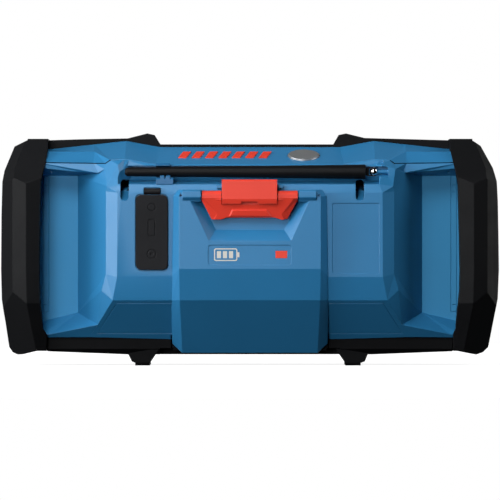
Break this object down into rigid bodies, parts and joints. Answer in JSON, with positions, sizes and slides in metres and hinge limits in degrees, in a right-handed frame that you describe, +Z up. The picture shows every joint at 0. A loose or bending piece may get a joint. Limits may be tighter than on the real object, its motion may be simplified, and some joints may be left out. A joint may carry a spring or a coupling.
{
  "type": "jobsite radio",
  "caption": "Rugged cordless jobsite radio with rubber end bumpers, latched rear battery door, folding antenna, port flap, two loudspeakers and front controls.",
  "frame": {"origin": "middle of the footprint, on the surface that the feet rest on", "axes": "+Z up, +X along the radio's length, to the right of someone who looks at its rear; the rear with the battery door and antenna faces -Y, the loudspeakers face +Y"},
  "size_m": [0.2988, 0.124, 0.1396],
  "materials": {
    "blue_plastic": "fine textured ABS",
    "black_plastic": "satin moulded",
    "bumper_rubber": "matt overmoulded elastomer",
    "flap_rubber": "matt rubber",
    "red_plastic": "satin moulded",
    "steel": "turned",
    "chrome": "polished",
    "grille_metal": "powder coat",
    "button_plastic": "soft touch",
    "knob_plastic": "knurled",
    "cone_paper": "pressed paper",
    "board": "solder mask",
    "lens": "clear smoked"
  },
  "bodies": {
    "housing": {"antenna_clip": "blue_plastic", "antenna_socket": "blue_plastic", "aux_jack": "black_plastic", "base_frame": "black_plastic", "battery_bay": "black_plastic", "battery_pack": "black_plastic", "battery_terminal_block": "black_plastic", "button_board": "board", "control_panel": "black_plastic", "dc_inlet": "black_plastic", "display_lens": "lens", "display_module": "board", "door_hinge_pin": "steel", "door_seal": "flap_rubber", "flap_hinge_tab": "flap_rubber", "foot_pads": "flap_rubber", "front_housing": "black_plastic", "housing_screws": "steel", "housing_seal": "flap_rubber", "left_bumper": "bumper_rubber", "left_grille": "grille_metal", "left_rear_end": "blue_plastic", "left_slot_insert": "blue_plastic", "left_speaker_basket": "grille_metal", "left_speaker_cone": "cone_paper", "left_speaker_magnet": "steel", "left_speaker_surround": "flap_rubber", "main_board": "board", "port_board": "board", "port_panel": "black_plastic", "rear_housing": "blue_plastic", "right_bumper": "bumper_rubber", "right_grille": "grille_metal", "right_rear_end": "blue_plastic", "right_slot_insert": "blue_plastic", "right_speaker_basket": "grille_metal", "right_speaker_cone": "cone_paper", "right_speaker_magnet": "steel", "right_speaker_surround": "flap_rubber", "rotary_encoder": "black_plastic", "strike_bar": "blue_plastic", "top_badge": "chrome", "top_frame": "bumper_rubber", "usb_port": "steel"},
    "battery_door": {"battery_door": "blue_plastic", "latch_pin": "steel"},
    "latch_lever": {"latch_lever": "red_plastic", "hook_pin": "steel"},
    "latch_hook": {"latch_hook": "red_plastic"},
    "port_flap": {"port_flap": "flap_rubber"},
    "antenna_post": {"antenna_post": "chrome"},
    "antenna_whip": {"antenna_whip": "flap_rubber", "antenna_pin": "steel"},
    "volume_knob": {"volume_knob": "knob_plastic"},
    "power_button": {"power_button": "button_plastic"},
    "source_button": {"source_button": "button_plastic"},
    "menu_button": {"menu_button": "button_plastic"},
    "preset_button_1": {"preset_button_1": "button_plastic"},
    "preset_button_2": {"preset_button_2": "button_plastic"},
    "preset_button_3": {"preset_button_3": "button_plastic"}
  },
  "joints": [
    {"name": "door_hinge", "type": "hinge", "parent": "housing", "child": "battery_door", "pos_m": [0, -0.0215, 0.0125], "axis": [1, 0, 0], "range_deg": [0, 60]},
    {"name": "lever_hinge", "type": "hinge", "parent": "battery_door", "child": "latch_lever", "pos_m": [0, -0.0575, 0.1026], "axis": [-1, 0, 0], "range_deg": [0, 60]},
    {"name": "hook_hinge", "type": "hinge", "parent": "latch_lever", "child": "latch_hook", "pos_m": [0, -0.0596, 0.0996], "axis": [-1, 0, 0], "range_deg": [-60, 0]},
    {"name": "flap_hinge", "type": "hinge", "parent": "housing", "child": "port_flap", "pos_m": [-0.05874, -0.0532, 0.1026], "axis": [-1, 0, 0], "range_deg": [0, 95]},
    {"name": "antenna_swivel", "type": "hinge", "parent": "housing", "child": "antenna_post", "pos_m": [0.0741, -0.045, 0.1162], "axis": [-1, 0, 0], "range_deg": [0, 90]},
    {"name": "antenna_fold", "type": "hinge", "parent": "antenna_post", "child": "antenna_whip", "pos_m": [0.0741, -0.045, 0.1162], "axis": [0, 0, 1], "range_deg": [0, 90]},
    {"name": "knob_turn", "type": "hinge", "parent": "housing", "child": "volume_knob", "pos_m": [0, 0.057, 0.041], "axis": [0, 1, 0], "continuous": true},
    {"name": "power_press", "type": "slide", "parent": "housing", "child": "power_button", "axis": [0, -1, 0], "range_m": [0, 0.001], "stiffness_N_per_m": 600, "springref_m": -0.0004},
    {"name": "source_press", "type": "slide", "parent": "housing", "child": "source_button", "axis": [0, -1, 0], "range_m": [0, 0.001], "stiffness_N_per_m": 600, "springref_m": -0.0004},
    {"name": "menu_press", "type": "slide", "parent": "housing", "child": "menu_button", "axis": [0, -1, 0], "range_m": [0, 0.001], "stiffness_N_per_m": 600, "springref_m": -0.0004},
    {"name": "preset_1_press", "type": "slide", "parent": "housing", "child": "preset_button_1", "axis": [0, -1, 0], "range_m": [0, 0.001], "stiffness_N_per_m": 600, "springref_m": -0.0004},
    {"name": "preset_2_press", "type": "slide", "parent": "housing", "child": "preset_button_2", "axis": [0, -1, 0], "range_m": [0, 0.001], "stiffness_N_per_m": 600, "springref_m": -0.0004},
    {"name": "preset_3_press", "type": "slide", "parent": "housing", "child": "preset_button_3", "axis": [0, -1, 0], "range_m": [0, 0.001], "stiffness_N_per_m": 600, "springref_m": -0.0004}
  ],
  "couplings": [
    {"joint": "hook_hinge", "follows": "lever_hinge", "ratio": -1}
  ]
}
